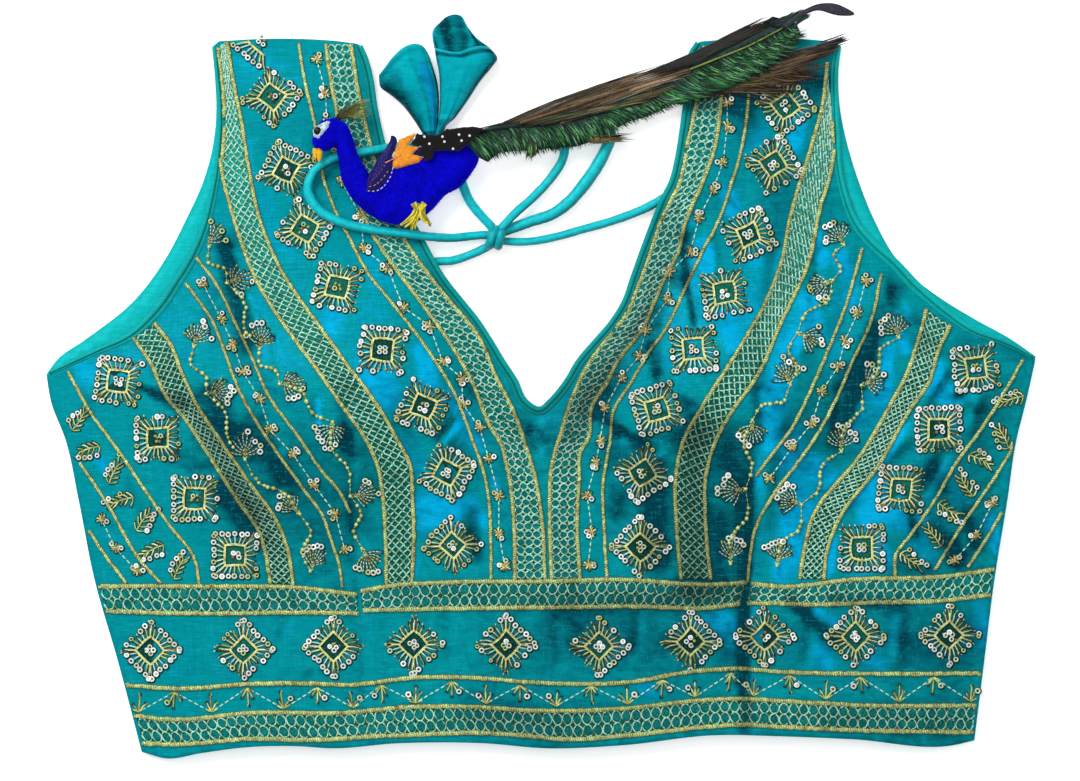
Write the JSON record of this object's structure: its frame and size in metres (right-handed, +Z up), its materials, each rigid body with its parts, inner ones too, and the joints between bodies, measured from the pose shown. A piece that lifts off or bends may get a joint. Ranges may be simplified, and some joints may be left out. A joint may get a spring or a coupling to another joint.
{
  "type": "choli blouse",
  "caption": "Sleeveless V-neck choli blouse laid flat, embroidered front over a plain back, with a knotted tie that carries folded silk petals and a small stuffed peacock.",
  "frame": {"origin": "on the surface the blouse lies on, under the middle of the garment's own bounding box (without the tie and its ornaments)", "axes": "+X towards the side seam on the right of the front as seen, +Y towards the shoulders, +Z up out of the embroidered front"},
  "size_m": [0.4946, 0.378, 0.0222],
  "materials": {
    "silk": "teal raw silk (dupion) with fine slubs and a soft cross-dyed sheen",
    "binding": "plain folded silk strip, a little greener and brighter than the panels",
    "cord": "tubular silk cord, bright cyan teal, satin",
    "velvet": "royal-blue velvet with a deep pile",
    "felt_navy": "navy felt with a pale hand-stitched edge",
    "felt_orange": "orange felt, cut jagged",
    "felt_black": "black felt dotted with silver",
    "felt_yellow": "yellow felt",
    "eye": "black glass-like bead",
    "crest": "brush of olive-brown plume fibres with yellow-green tips",
    "feather": "iridescent green and brown peafowl barbs on a brown quill",
    "gold_thread": "flat metallic gold thread, couched",
    "sequin": "silvered sequins and small glass beads"
  },
  "bodies": {
    "root": {"front": "silk", "back": "silk", "neck_binding": "binding", "armhole_binding_left": "binding", "armhole_binding_right": "binding", "dori_left": "cord", "dori_right": "cord", "dori_tail": "cord", "dori_tail_2": "cord", "dori_loop": "cord", "knot": "cord", "latkan_left": "silk", "latkan_right": "silk", "peacock_body": "velvet", "wing_base": "felt_navy", "wing_middle": "felt_orange", "wing_tip": "felt_black", "eye": "eye", "beak": "felt_yellow", "claw": "felt_yellow", "crest": "crest", "tail_feather_lower": "feather", "tail_feather_upper": "feather"}
  },
  "joints": []
}
